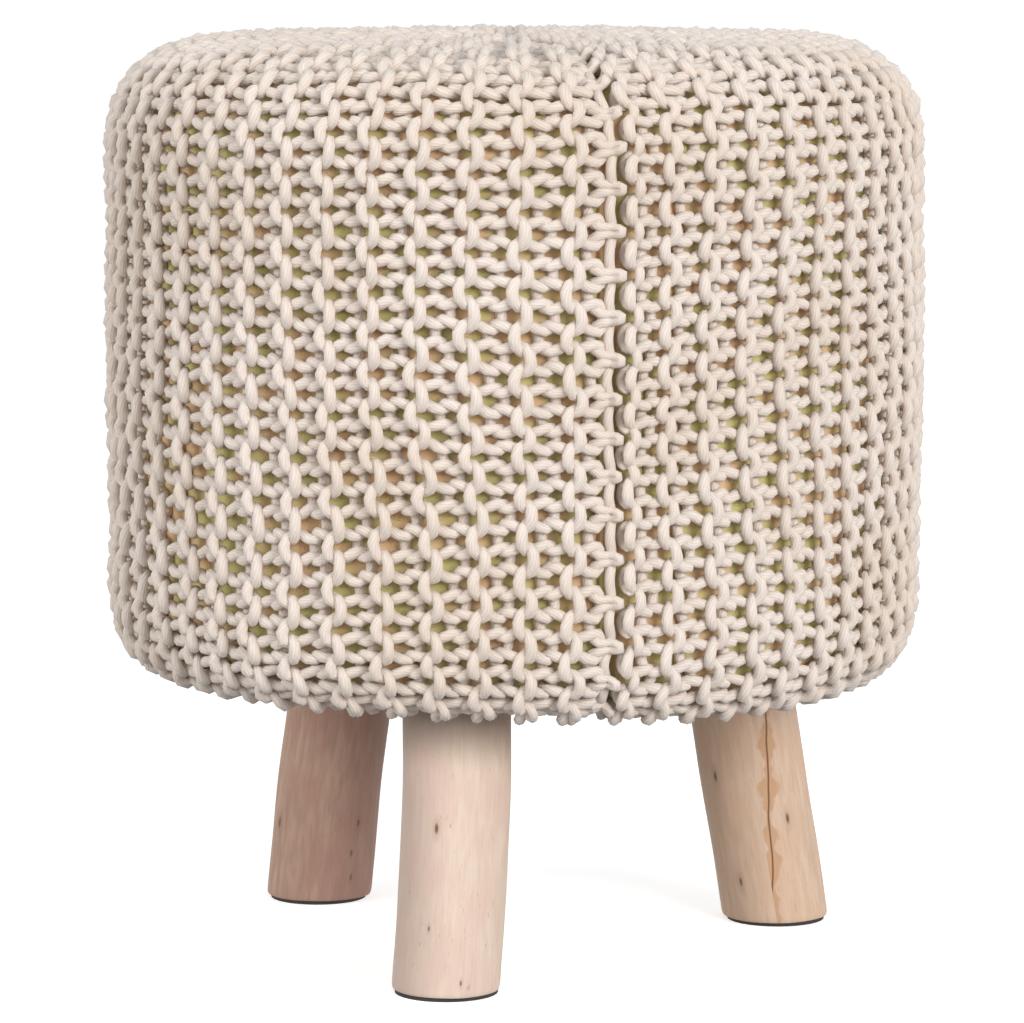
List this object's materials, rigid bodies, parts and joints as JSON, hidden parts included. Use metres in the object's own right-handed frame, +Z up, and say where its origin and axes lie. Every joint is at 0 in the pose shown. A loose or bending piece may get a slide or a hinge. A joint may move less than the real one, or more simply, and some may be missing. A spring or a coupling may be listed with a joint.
{
  "type": "stool",
  "caption": "Round stool: a tall padded drum seat in a chunky knitted cotton cord cover, on splayed, peeled branch legs with thin dark glides.",
  "frame": {"origin": "on the floor under the middle of the seat", "axes": "+Z up, -Y to the front (the view of the picture), +X to the right seen from the front"},
  "size_m": [0.3536, 0.3536, 0.3948],
  "materials": {
    "cotton_cord": "soft twisted cotton cord, undyed cream",
    "casing_cloth": "plain weave cloth, matt olive tan",
    "board_wood": "bare plywood",
    "branch_wood": "peeled and sanded branch with knots and drying cracks, bare matt",
    "glide_felt": "pressed felt, near black"
  },
  "bodies": {
    "root": {"knitted_cover": "cotton_cord", "filled_casing": "casing_cloth", "base_board": "board_wood", "leg_front": "branch_wood", "leg_right": "branch_wood", "leg_left": "branch_wood", "glide_front": "glide_felt", "glide_right": "glide_felt", "glide_left": "glide_felt"}
  },
  "joints": []
}
